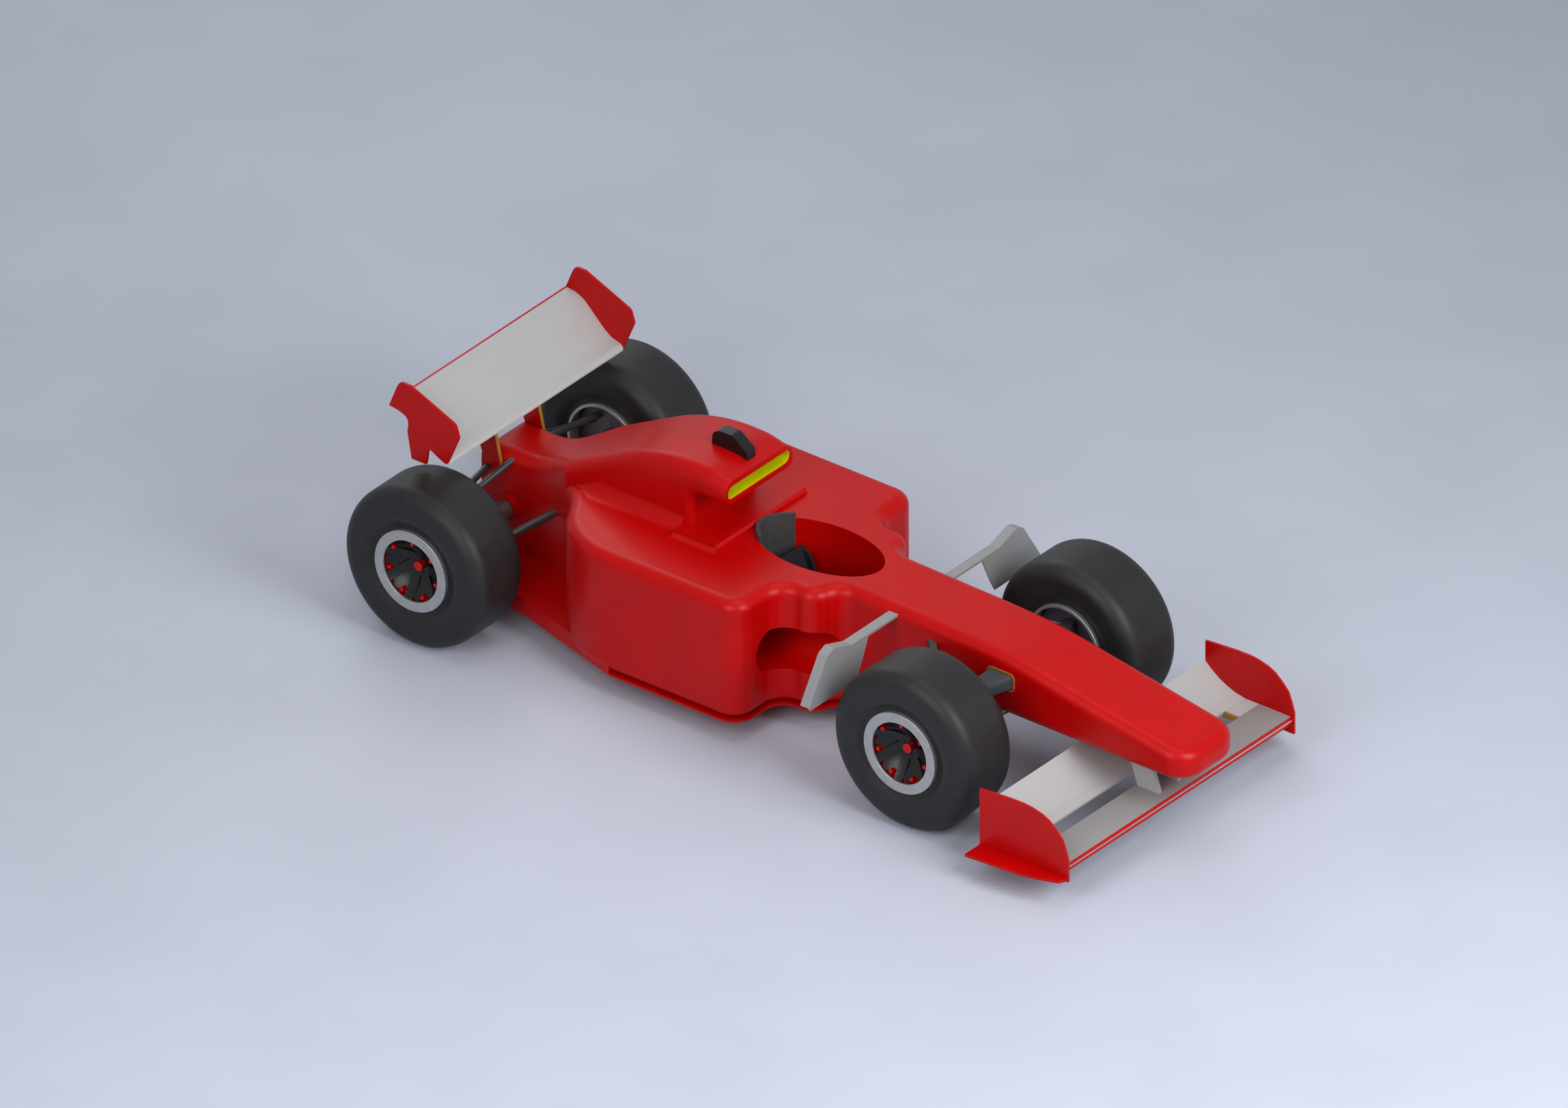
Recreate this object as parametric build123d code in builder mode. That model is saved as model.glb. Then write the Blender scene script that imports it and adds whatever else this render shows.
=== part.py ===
from build123d import *
import os
from math import cos, radians, sin

os.makedirs("parts", exist_ok=True)

# An open wheel racing car in millimetres. Ground is z = 0, the car faces -Y and its left side is +X.
# A station is a distance ahead of the rear axle. Offsets on a wheel grow outwards from its middle.

# Wheels and axles
WHEELBASE = 2650.0
FRONT_HALF_TRACK = 585.0
REAR_HALF_TRACK = 686.0
TYRE_R = 390.0
TYRE_WIDTH = 345.0
SHOULDER_R = 75.0
SIDEWALL_DIP = 22.0
SIDEWALL_R = 255.0
SIDEWALL_BEND_R = 60.0
BEAD_R = 215.0
BEAD_BEND_R = 20.0
RIM_R = 198.0
RIM_WIDTH = 342.0
RIM_WINDOW_R = 150.0
RIM_LIP_R = 182.0
RIM_WALL = 8.0
RIM_EDGE_R = 3.0
RIM_FLANGE = 10.0
SPOKES = 7
SPOKE_WIDTH = 42.0
SPOKE_RISE = 7.0
SPOKE_TWIST = 14.0
DISH_WALL = 9.0
DISH_FLOOR = 80.0
DISH_SAG = 12.0
DISH_OVERLAP = 9.2
LOBE_R = 38.0
LOBE_REACH = 147.0
HUB_R = 46.0
HUB_BACK = 30.0
HUB_FACE = 84.0
NUT_R = 22.0
NUT_FACE = 112.0
STUB_R = 28.0
STUB_END = 70.0
FIT = 0.3

# Uprights, arms, links and driveshafts
SHIELD_R = 180.0
SHIELD_OFFSET = -92.0
SHIELD_THICKNESS = 8.0
SHAFT_R = 50.0
BEARING_DEPTH = 46.0
BEARING_WALL = 14.0
KINGPIN_OFFSET = -133.0
KINGPIN_R = 13.0
KINGPIN_HALF = 108.0
EYE_WALL = 14.0
EYE_HEIGHT = 30.0
YOKE_WIDTH = 44.0
YOKE_GAP = 5.0
BOSS_LENGTH = 34.0
SHAFT_GAP = 5.0
ROD_INSET = 40.0
LINK_INSET = 30.0

# Body seen from above
TAIL_STATION = -156.0
TAIL_HALF_WIDTH = 147.0
WAIST_STATION = 384.0
WAIST_R = 465.0
POD_SHOULDER_STATION = 654.0
POD_HALF_WIDTH = 642.0
POD_FRONT = 1665.0
POD_CORNER_R = 105.0
BULGE_HALF_WIDTH = 345.0
BULGE_HOLLOW_R = 103.0
BULGE_R = 98.0
BULGE_STATION = 1848.0
NOSE_START = 1898.0
NOSE_HALF_WIDTH = 201.0
FRONT_OVERHANG = 1166.0
NOSE_TIP = WHEELBASE + FRONT_OVERHANG
NOSE_CORNER_R = 130.0

# Body seen from the side
BELLY_Z = 114.0
DECK_Z = 711.0
DECK_EDGE_R = 60.0
DECK_END = 1974.0
KNEE_LEAD = 150.0
NOSE_KNEE = WHEELBASE + KNEE_LEAD
NOSE_KNEE_Z = 690.0
NOSE_KNEE_R = 2500.0
NOSE_TIP_TOP_Z = 514.0
NOSE_TIP_R = 55.0
NOSE_BELLY_Z = 378.0
BELLY_RISE_START = 2066.0
BELLY_RISE_END = 2330.0
BELLY_BEND_R = 300.0

# Panel joints
JOINT_LEAD = 250.0
NOSE_JOINT = WHEELBASE + JOINT_LEAD
TUB_HALF_WIDTH = 205.0

# Floor
FLOOR_PLATE = 9.0
LEDGE_TOP = 180.0
LEDGE_REAR = -60.0
LEDGE_REAR_HALF_WIDTH = 420.0
LEDGE_MID = 315.0
LEDGE_MID_HALF_WIDTH = 459.0
LEDGE_END = 940.0

# Engine, engine cover and air intake
TAIL_Z = 663.0
COVER_HALF_WIDTH = 240.0
COVER_CORNER_R = 120.0
COVER_FOOT = 142.5
COVER_FOOT_R = 400.0
COVER_KNEE = 865.0
COVER_KNEE_R = 900.0
COVER_TOP_Z = 1046.0
COVER_BROW = 1170.0
COVER_BROW_Z = 1040.0
COVER_BROW_R = 300.0
COVER_EDGE_R = 66.0
INTAKE_FRONT = 1278.0
INTAKE_TOP_Z = 1014.0
INTAKE_UNDER_Z = 897.0
INTAKE_UNDER_R = 36.0
INTAKE_LOWER_EDGE_R = 40.0
COLUMN_FRONT = 1086.0
SLOT_WIDTH = 444.0
SLOT_HEIGHT = 66.0
SLOT_Z = 954.0
SLOT_DEPTH = 150.0
LINER_WALL = 5.0
LINER_SETBACK = 6.0
PAD_HALF_WIDTH = 318.0
PAD_HEIGHT = 27.0
PAD_EDGE_R = 12.0
ENGINE_LENGTH = 560.0
ENGINE_REAR = 470.0
ENGINE_WIDTH = 340.0
ENGINE_HEIGHT = 420.0
ENGINE_Z = 150.0
ENGINE_GAP = 12.0
POD_CAMERA_REAR = 1035.0
POD_CAMERA_WIDTH = 60.0
POD_CAMERA_HEIGHT = 82.0

# Cockpit
COCKPIT_REAR = 1290.0
PAD_FRONT = COCKPIT_REAR
COCKPIT_LENGTH = 660.0
COCKPIT_WIDTH = 378.0
COCKPIT_FLOOR_Z = 190.0
HEADREST_REACH = 90.0
HEADREST_WALL = 18.0
HEADREST_RISE = 28.0
SEAT_MARGIN = 64.0
SEAT_WIDTH = COCKPIT_WIDTH - 2 * SEAT_MARGIN
SEAT_WALL = 16.0
STEERING_REACH = 510.0
STEERING_STATION = COCKPIT_REAR + STEERING_REACH
STEERING_Z = 480.0
STEERING_TILT = 22.0
STEERING_WIDTH = 236.0
STEERING_HEIGHT = 140.0
STEERING_THICKNESS = 26.0
STEERING_CORNER_R = 46.0
GRIP_INSET = 44.0
GRIP_SLOT = 84.0
GRIP_SLOT_WIDTH = 30.0
COLUMN_R = 17.0
COLUMN_PIN_R = 9.0

# Pod inlets
INLET_WIDTH = 300.0
INLET_HEIGHT = 210.0
INLET_WALL = 10.0
INLET_X = TUB_HALF_WIDTH + INLET_WALL + INLET_WIDTH / 2
INLET_Z = 399.0
INLET_BACK = 1330.0

# Turning vanes behind the front wheels
VANE_GAP = 54.0
VANE_FRONT = WHEELBASE - TYRE_R - VANE_GAP
VANE_CHORD = 51.0
VANE_THICKNESS = 12.0
VANE_PANEL = 6.0
VANE_BEND_R = 20.0
VANE_TIP_X = 820.0
VANE_BOTTOM_Z = 475.0

# Front wing
FRONT_WING_Z = 204.0
FRONT_WING_THICKNESS = 38.0
FRONT_WING_EDGE_R = 15.0
FRONT_WING_LEAD = 974.0
FRONT_WING_FRONT = WHEELBASE + FRONT_WING_LEAD
FRONT_SLOT_SETBACK = 183.0
FRONT_SLOT_FRONT = FRONT_WING_FRONT - FRONT_SLOT_SETBACK
FRONT_SLOT_LENGTH = 93.0
FRONT_SLOT_REAR = FRONT_SLOT_FRONT - FRONT_SLOT_LENGTH
FRONT_SLOT_HALF_WIDTH = 660.0
FRONT_HALF_SPAN = 798.0
FLAP_THICKNESS = 12.0
FLAP_BEND_R = 60.0
PILLAR_X = 69.0
PILLAR_WIDTH = 22.0
PILLAR_FOOT_Z = 190.0
PILLAR_HEAD_Z = 420.0
FOOT_Z = 120.0
FOOT_HEIGHT = 14.0
ENDPLATE = 12.0

# Rear wing
REAR_HALF_SPAN = 618.0
REAR_WING_THICKNESS = 14.0
PLATE_TYRE_GAP = 20.0
PLATE_LEG_Z = 2 * TYRE_R + PLATE_TYRE_GAP
STRUT_WIDTH = 14.0

# The car's middle along Y lies halfway between the nose tip and the back of the rear tyres
REAR_AXLE_Y = (NOSE_TIP - TYRE_R) / 2
SIDES = {"left": 1, "right": -1}

# Columns: name, side, station, half track
CORNERS = (
    ("front_left", 1, WHEELBASE, FRONT_HALF_TRACK),
    ("front_right", -1, WHEELBASE, FRONT_HALF_TRACK),
    ("rear_left", 1, 0.0, REAR_HALF_TRACK),
    ("rear_right", -1, 0.0, REAR_HALF_TRACK),
)


def y_at(station):
    return REAR_AXLE_Y - station


# Sketch planes: a plan holds (station, x), a side view (station, z) and a cross section (x, z)
PLAN = Plane(origin=(0, REAR_AXLE_Y, 0), x_dir=(0, -1, 0), z_dir=(0, 0, 1))
SIDE_VIEW = Plane(origin=(0, REAR_AXLE_Y, 0), x_dir=(0, -1, 0), z_dir=(-1, 0, 0))
FAR = 6000.0


def cross_section(station):
    return Plane(origin=(0, y_at(station), 0), x_dir=(1, 0, 0), z_dir=(0, -1, 0))


def across(x, station, z, side):
    # A plane square to the axles, facing outwards, with its local x forwards
    return Plane(origin=(x, y_at(station), z), x_dir=(0, -1, 0), z_dir=(side, 0, 0))


def wheel_section(side, station, half_track):
    # Local x runs outwards along the axle and local y upwards
    centre = (side * half_track, y_at(station), TYRE_R)
    return Plane(origin=centre, x_dir=(side, 0, 0), z_dir=(0, -side, 0))


def axle(side, station, half_track):
    return Axis((side * half_track, y_at(station), TYRE_R), (side, 0, 0))


def rounded_outline(rows):
    # Rows hold two coordinates and the radius of that corner
    FilletPolyline([(a, b) for a, b, r in rows], radius=[r for a, b, r in rows], close=True)


def both_sides(rows):
    # Mirrors half an outline about the car's middle
    return list(rows) + [(a, -b, r) for a, b, r in reversed(rows)]


def label_and_write(piece, name):
    piece.part.label = name
    export_step(piece.part, f"parts/{name}.step")


# Columns: station, half width, corner radius
BODY_PLAN = (
    (TAIL_STATION, TAIL_HALF_WIDTH, 0),
    (WAIST_STATION, TAIL_HALF_WIDTH, WAIST_R),
    (POD_SHOULDER_STATION, POD_HALF_WIDTH, WAIST_R),
    (POD_FRONT, POD_HALF_WIDTH, POD_CORNER_R),
    (POD_FRONT, BULGE_HALF_WIDTH, BULGE_HOLLOW_R),
    (BULGE_STATION, BULGE_HALF_WIDTH, BULGE_R),
    (NOSE_START, NOSE_HALF_WIDTH, BULGE_R),
    (NOSE_TIP, NOSE_HALF_WIDTH, NOSE_CORNER_R),
)

# Columns: station, height, corner radius
DECK_SIDE = (
    (WAIST_STATION, BELLY_Z, 0),
    (WAIST_STATION, DECK_Z, 0),
    (DECK_END, DECK_Z, NOSE_KNEE_R),
    (NOSE_KNEE, NOSE_KNEE_Z, NOSE_KNEE_R),
    (NOSE_TIP, NOSE_TIP_TOP_Z, 0),
    (NOSE_TIP, NOSE_BELLY_Z, 0),
    (BELLY_RISE_END, NOSE_BELLY_Z, BELLY_BEND_R),
    (BELLY_RISE_START, BELLY_Z, BELLY_BEND_R),
)

# Columns: station, height, corner radius
SPINE_SIDE = (
    (TAIL_STATION, BELLY_Z, 0),
    (TAIL_STATION, TAIL_Z, 0),
    (COVER_FOOT, TAIL_Z, COVER_FOOT_R),
    (COVER_KNEE, COVER_TOP_Z, COVER_KNEE_R),
    (COVER_BROW, COVER_BROW_Z, COVER_BROW_R),
    (INTAKE_FRONT, INTAKE_TOP_Z, 0),
    (INTAKE_FRONT, INTAKE_UNDER_Z, 0),
    (COLUMN_FRONT, INTAKE_UNDER_Z, INTAKE_UNDER_R),
    (COLUMN_FRONT, BELLY_Z, 0),
)


def upward_rim(part):
    # Edges that close the upward faces off against the walls
    tops = [f for f in part.faces() if f.normal_at(f.center()).Z > 0.3]
    seen = [e for f in tops for e in f.edges()]
    return [e for e in seen if sum(e.is_same(other) for other in seen) == 1]


# Deck, pods and nose in one blank, which the panels below are cut from
with BuildPart() as deck_blank:
    with BuildSketch(PLAN.offset(BELLY_Z)):
        with BuildLine():
            rounded_outline(both_sides(BODY_PLAN))
        make_face()
    extrude(amount=DECK_Z - BELLY_Z)
    with BuildSketch(SIDE_VIEW):
        with BuildLine():
            rounded_outline(DECK_SIDE)
        make_face()
    extrude(amount=FAR, both=True, mode=Mode.INTERSECT)
    deck_rim = upward_rim(deck_blank.part)
    fillet([e for e in deck_rim if e.center().Y < y_at(WAIST_STATION) - 1], radius=DECK_EDGE_R)
    chin = [
        e
        for e in deck_blank.edges()
        if abs(e.center().Z - NOSE_BELLY_Z) < 1 and e.center().Y < y_at(BELLY_RISE_END) - 200
    ]
    fillet(chin, radius=NOSE_TIP_R)

# Tail and engine cover in one blank: it follows the body's waist and then runs straight
with BuildPart() as spine_blank:
    with BuildSketch(PLAN.offset(BELLY_Z)) as spine_plan:
        with BuildLine():
            rounded_outline(both_sides(BODY_PLAN))
        make_face()
        with Locations((TAIL_STATION, 0)):
            Rectangle(
                INTAKE_FRONT - TAIL_STATION,
                2 * COVER_HALF_WIDTH,
                align=(Align.MIN, Align.CENTER),
                mode=Mode.INTERSECT,
            )
        shoulders = [
            v
            for v in spine_plan.vertices()
            if abs(abs(v.X) - COVER_HALF_WIDTH) < 1 and v.Y > y_at(COLUMN_FRONT)
        ]
        fillet(shoulders, radius=COVER_CORNER_R)
    extrude(amount=COVER_TOP_Z - BELLY_Z)
    with BuildSketch(SIDE_VIEW):
        with BuildLine():
            rounded_outline(SPINE_SIDE)
        make_face()
    extrude(amount=FAR, both=True, mode=Mode.INTERSECT)
    spine_rim = upward_rim(spine_blank.part)
    fillet([e for e in spine_rim if e.center().Y > y_at(INTAKE_FRONT) + 1], radius=COVER_EDGE_R)

# Rear body: gearbox casing and engine bay below the deck line
with BuildPart() as rear_body:
    add(spine_blank.part)
    split(bisect_by=Plane.XY.offset(DECK_Z), keep=Keep.BOTTOM)
    with BuildSketch(PLAN.offset(ENGINE_Z)):
        with Locations((ENGINE_REAR + ENGINE_LENGTH / 2, 0)):
            Rectangle(ENGINE_LENGTH + 2 * ENGINE_GAP, ENGINE_WIDTH + 2 * ENGINE_GAP)
    extrude(amount=ENGINE_HEIGHT + ENGINE_GAP, mode=Mode.SUBTRACT)
    for side in SIDES.values():
        with BuildSketch(across(side * TAIL_HALF_WIDTH, 0, TYRE_R, side)):
            Circle(SHAFT_R + FIT + BEARING_WALL)
            Circle(SHAFT_R + FIT, mode=Mode.SUBTRACT)
        extrude(amount=BOSS_LENGTH)
label_and_write(rear_body, "rear_body")

with BuildPart() as engine_block:
    with BuildSketch(PLAN.offset(ENGINE_Z)):
        with Locations((ENGINE_REAR + ENGINE_LENGTH / 2, 0)):
            Rectangle(ENGINE_LENGTH, ENGINE_WIDTH)
    extrude(amount=ENGINE_HEIGHT)
label_and_write(engine_block, "engine_block")

# Engine cover above the deck line, with the overhanging intake and the raised pad before it
with BuildPart() as engine_cover:
    add(spine_blank.part)
    split(bisect_by=Plane.XY.offset(DECK_Z), keep=Keep.TOP)
    lower_edges = [
        e
        for e in engine_cover.edges().filter_by(Axis.Y)
        if abs(e.center().Z - INTAKE_UNDER_Z) < 1
    ]
    fillet(lower_edges, radius=INTAKE_LOWER_EDGE_R)
    with BuildSketch(PLAN.offset(DECK_Z)):
        with Locations((PAD_FRONT, 0)):
            Rectangle(
                PAD_FRONT - COLUMN_FRONT + INTAKE_LOWER_EDGE_R,
                2 * PAD_HALF_WIDTH,
                align=(Align.MAX, Align.CENTER),
            )
    extrude(amount=PAD_HEIGHT)
    pad_front = engine_cover.edges().filter_by(Axis.X).filter_by(
        lambda e: abs(e.center().Y - y_at(PAD_FRONT)) < 1 and e.center().Z > DECK_Z + 1
    )
    chamfer(pad_front, length=PAD_EDGE_R)
    with BuildSketch(cross_section(INTAKE_FRONT)):
        with Locations((0, SLOT_Z)):
            SlotOverall(SLOT_WIDTH, SLOT_HEIGHT)
    extrude(amount=-SLOT_DEPTH, mode=Mode.SUBTRACT)
label_and_write(engine_cover, "engine_cover")

with BuildPart() as intake_liner:
    with BuildSketch(cross_section(INTAKE_FRONT - LINER_SETBACK)):
        with Locations((0, SLOT_Z)):
            SlotOverall(SLOT_WIDTH - 2 * FIT, SLOT_HEIGHT - 2 * FIT)
    extrude(amount=-(SLOT_DEPTH - LINER_SETBACK))
    with BuildSketch(cross_section(INTAKE_FRONT - LINER_SETBACK)):
        with Locations((0, SLOT_Z)):
            SlotOverall(SLOT_WIDTH - 2 * LINER_WALL, SLOT_HEIGHT - 2 * LINER_WALL)
    extrude(amount=-(SLOT_DEPTH - LINER_SETBACK - LINER_WALL), mode=Mode.SUBTRACT)
label_and_write(intake_liner, "intake_liner")

# Columns: distance ahead of the camera's rear, height above the brow, corner radius
CAMERA_SIDE = (
    (0, -40, 0),
    (6, 0.72, 30),
    (46, 1, 26),
    (118, 1, 40),
    (196, 0.3, 24),
    (204, -40, 0),
)
with BuildPart() as roof_camera:
    with BuildSketch(SIDE_VIEW):
        with BuildLine():
            rounded_outline(
                [
                    (POD_CAMERA_REAR + a, COVER_BROW_Z + (h if h < 0 else h * POD_CAMERA_HEIGHT), r)
                    for a, h, r in CAMERA_SIDE
                ]
            )
        make_face()
    extrude(amount=POD_CAMERA_WIDTH / 2, both=True)
    add(engine_cover.part, mode=Mode.SUBTRACT)
label_and_write(roof_camera, "roof_camera")

# Side pods with their inlets
for side_name, side in SIDES.items():
    with BuildPart() as pod:
        add(deck_blank.part)
        with BuildSketch(PLAN.offset(BELLY_Z)):
            with Locations((WAIST_STATION, side * COVER_HALF_WIDTH)):
                Rectangle(
                    COLUMN_FRONT - WAIST_STATION,
                    POD_HALF_WIDTH,
                    align=(Align.MIN, Align.MIN if side > 0 else Align.MAX),
                )
            with Locations((COLUMN_FRONT, side * TUB_HALF_WIDTH)):
                Rectangle(
                    DECK_END - COLUMN_FRONT,
                    POD_HALF_WIDTH,
                    align=(Align.MIN, Align.MIN if side > 0 else Align.MAX),
                )
        extrude(amount=DECK_Z - BELLY_Z, mode=Mode.INTERSECT)
        with BuildSketch(cross_section(INLET_BACK)):
            with Locations((side * INLET_X, INLET_Z)):
                SlotOverall(INLET_WIDTH, INLET_HEIGHT)
        extrude(amount=DECK_END - INLET_BACK, mode=Mode.SUBTRACT)
    label_and_write(pod, f"side_pod_{side_name}")

# Tub with the open cockpit
COCKPIT_MIDDLE = COCKPIT_REAR + COCKPIT_LENGTH / 2
with BuildPart() as tub:
    add(deck_blank.part)
    with BuildSketch(PLAN.offset(BELLY_Z)):
        with Locations((COLUMN_FRONT, 0)):
            Rectangle(
                NOSE_JOINT - COLUMN_FRONT, 2 * TUB_HALF_WIDTH, align=(Align.MIN, Align.CENTER)
            )
    extrude(amount=DECK_Z - BELLY_Z, mode=Mode.INTERSECT)
    with BuildSketch(PLAN.offset(COCKPIT_FLOOR_Z)):
        with Locations((COCKPIT_MIDDLE, 0)):
            Ellipse(COCKPIT_LENGTH / 2, COCKPIT_WIDTH / 2)
    extrude(amount=DECK_Z - COCKPIT_FLOOR_Z, mode=Mode.SUBTRACT)
label_and_write(tub, "tub")

with BuildPart() as nose_cone:
    add(deck_blank.part)
    split(bisect_by=Plane(origin=(0, y_at(NOSE_JOINT), 0), z_dir=(0, -1, 0)), keep=Keep.TOP)
label_and_write(nose_cone, "nose_cone")

# Headrest wall round the back of the cockpit
with BuildPart() as headrest:
    with BuildSketch(PLAN.offset(COCKPIT_FLOOR_Z)):
        with Locations((COCKPIT_MIDDLE, 0)):
            Ellipse(COCKPIT_LENGTH / 2 - FIT, COCKPIT_WIDTH / 2 - FIT)
            Ellipse(
                COCKPIT_LENGTH / 2 - HEADREST_WALL,
                COCKPIT_WIDTH / 2 - HEADREST_WALL,
                mode=Mode.SUBTRACT,
            )
        with Locations((COCKPIT_REAR + HEADREST_REACH, 0)):
            Rectangle(
                COCKPIT_LENGTH, FAR, align=(Align.MIN, Align.CENTER), mode=Mode.SUBTRACT
            )
    extrude(amount=DECK_Z + HEADREST_RISE - COCKPIT_FLOOR_Z)
label_and_write(headrest, "headrest")

# Seat: a moulded bucket with a low cushion line between two side walls
# Columns: distance ahead of the cockpit's rear, height above its floor, corner radius
SEAT_SIDE = (
    (114, 0, 30),
    (114, 400, 14),
    (140, 400, 14),
    (270, 70, 90),
    (450, 50, 60),
    (536, 84, 12),
    (544, 0, 20),
)
SEAT_WALL_SIDE = (
    (114, 0, 30),
    (114, 400, 14),
    (180, 380, 40),
    (270, 150, 90),
    (510, 130, 60),
    (544, 0, 20),
)


def seat_outline(rows):
    rounded_outline([(COCKPIT_REAR + a, COCKPIT_FLOOR_Z + z, r) for a, z, r in rows])


with BuildPart() as seat:
    with BuildSketch(SIDE_VIEW):
        with BuildLine():
            seat_outline(SEAT_SIDE)
        make_face()
    extrude(amount=SEAT_WIDTH / 2, both=True)
    for side in SIDES.values():
        with BuildSketch(SIDE_VIEW.offset(side * SEAT_WIDTH / 2)):
            with BuildLine():
                seat_outline(SEAT_WALL_SIDE)
            make_face()
        extrude(amount=-side * SEAT_WALL)
label_and_write(seat, "seat")

# Steering wheel on its column, both square to the tilted steering axis
STEERING_AXIS = (0, cos(radians(STEERING_TILT)), sin(radians(STEERING_TILT)))
STEERING_PLANE = Plane(
    origin=(0, y_at(STEERING_STATION), STEERING_Z), x_dir=(1, 0, 0), z_dir=STEERING_AXIS
)
with BuildPart() as steering_wheel:
    with BuildSketch(STEERING_PLANE):
        RectangleRounded(STEERING_WIDTH, STEERING_HEIGHT, STEERING_CORNER_R)
        for side in SIDES.values():
            with Locations((side * (STEERING_WIDTH / 2 - GRIP_INSET), 0)):
                SlotOverall(GRIP_SLOT, GRIP_SLOT_WIDTH, rotation=90, mode=Mode.SUBTRACT)
    extrude(amount=STEERING_THICKNESS)
    with BuildSketch(STEERING_PLANE):
        Circle(COLUMN_PIN_R + FIT)
    extrude(amount=STEERING_THICKNESS / 2 + FIT, mode=Mode.SUBTRACT)
label_and_write(steering_wheel, "steering_wheel")

with BuildPart() as steering_column:
    with BuildSketch(STEERING_PLANE.offset(-FIT)):
        Circle(COLUMN_R)
    extrude(amount=-COCKPIT_LENGTH / 2)
    with BuildSketch(STEERING_PLANE.offset(-FIT)):
        Circle(COLUMN_PIN_R)
    extrude(amount=STEERING_THICKNESS / 2)
    with BuildSketch(PLAN.offset(COCKPIT_FLOOR_Z)):
        with Locations((COCKPIT_MIDDLE, 0)):
            Ellipse(COCKPIT_LENGTH / 2, COCKPIT_WIDTH / 2)
    extrude(amount=DECK_Z - COCKPIT_FLOOR_Z, mode=Mode.INTERSECT)
label_and_write(steering_column, "steering_column")

# Floor: a thin plate under the whole body and a thicker ledge round the waist
# Columns: station, half width, corner radius
LEDGE_PLAN = (
    (LEDGE_REAR, LEDGE_REAR_HALF_WIDTH, 50),
    (LEDGE_MID, LEDGE_MID_HALF_WIDTH, 0),
    (LEDGE_END, POD_HALF_WIDTH, 0),
)
PLATE_END = BELLY_RISE_START - BELLY_BEND_R / 2
with BuildPart() as floor:
    with BuildSketch(PLAN.offset(BELLY_Z - FLOOR_PLATE)):
        with BuildLine():
            rounded_outline(both_sides(LEDGE_PLAN + BODY_PLAN[3:]))
        make_face()
        with Locations((LEDGE_REAR, 0)):
            Rectangle(
                PLATE_END - LEDGE_REAR,
                2 * POD_HALF_WIDTH,
                align=(Align.MIN, Align.CENTER),
                mode=Mode.INTERSECT,
            )
    extrude(amount=FLOOR_PLATE)
    with BuildSketch(PLAN.offset(BELLY_Z)):
        with BuildLine():
            rounded_outline(both_sides(LEDGE_PLAN))
        make_face()
    extrude(amount=LEDGE_TOP - BELLY_Z)
    for blank in (deck_blank, spine_blank):
        add(blank.part, mode=Mode.SUBTRACT)
label_and_write(floor, "floor")

# Outlines turned round the axle. Columns: offset, radius from the axle, corner radius
HALF_TYRE = TYRE_WIDTH / 2
HALF_RIM = RIM_WIDTH / 2
DISH_RIM = HALF_RIM - RIM_FLANGE
TYRE_OUTLINE = (
    (-HALF_TYRE, TYRE_R, SHOULDER_R),
    (HALF_TYRE, TYRE_R, SHOULDER_R),
    (HALF_TYRE, SIDEWALL_R, SIDEWALL_BEND_R),
    (HALF_TYRE - SIDEWALL_DIP, BEAD_R, BEAD_BEND_R),
    (HALF_TYRE - SIDEWALL_DIP, RIM_R + FIT, 0),
    (-HALF_TYRE + SIDEWALL_DIP, RIM_R + FIT, 0),
    (-HALF_TYRE + SIDEWALL_DIP, BEAD_R, BEAD_BEND_R),
    (-HALF_TYRE, SIDEWALL_R, SIDEWALL_BEND_R),
)
RIM_OUTLINE = (
    (HALF_RIM, RIM_WINDOW_R, RIM_EDGE_R),
    (HALF_RIM, RIM_R, RIM_EDGE_R),
    (-HALF_RIM, RIM_R, RIM_EDGE_R),
    (-HALF_RIM, RIM_LIP_R, RIM_EDGE_R),
    (-DISH_RIM, RIM_LIP_R, 0),
    (-DISH_RIM, RIM_R - RIM_WALL, 0),
    (DISH_RIM, RIM_R - RIM_WALL, 0),
    (DISH_RIM, RIM_WINDOW_R, 0),
)
SPOKE_SEAT_R = RIM_WINDOW_R + RIM_WALL
DISH_FOOT_R = HUB_R - DISH_OVERLAP
DISH_MIDDLE = (DISH_RIM + DISH_FLOOR) / 2 - DISH_SAG
DISH_MIDDLE_R = (RIM_WINDOW_R + HUB_R) / 2
STUB_HOLE_END = STUB_END + FIT


def dish_outline(rise, seat_r):
    # A curved shell from the hub out to the rim's flange, moved outwards by its rise
    foot = DISH_FLOOR + rise
    middle = DISH_MIDDLE + rise
    ThreePointArc((DISH_RIM, seat_r), (middle, DISH_MIDDLE_R), (foot, DISH_FOOT_R))
    Line((foot, DISH_FOOT_R), (foot - DISH_WALL - rise, DISH_FOOT_R))
    ThreePointArc(
        (foot - DISH_WALL - rise, DISH_FOOT_R),
        (DISH_MIDDLE - DISH_WALL, DISH_MIDDLE_R),
        (DISH_RIM - DISH_WALL, seat_r),
    )
    Line((DISH_RIM - DISH_WALL, seat_r), (DISH_RIM, seat_r))


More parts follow.
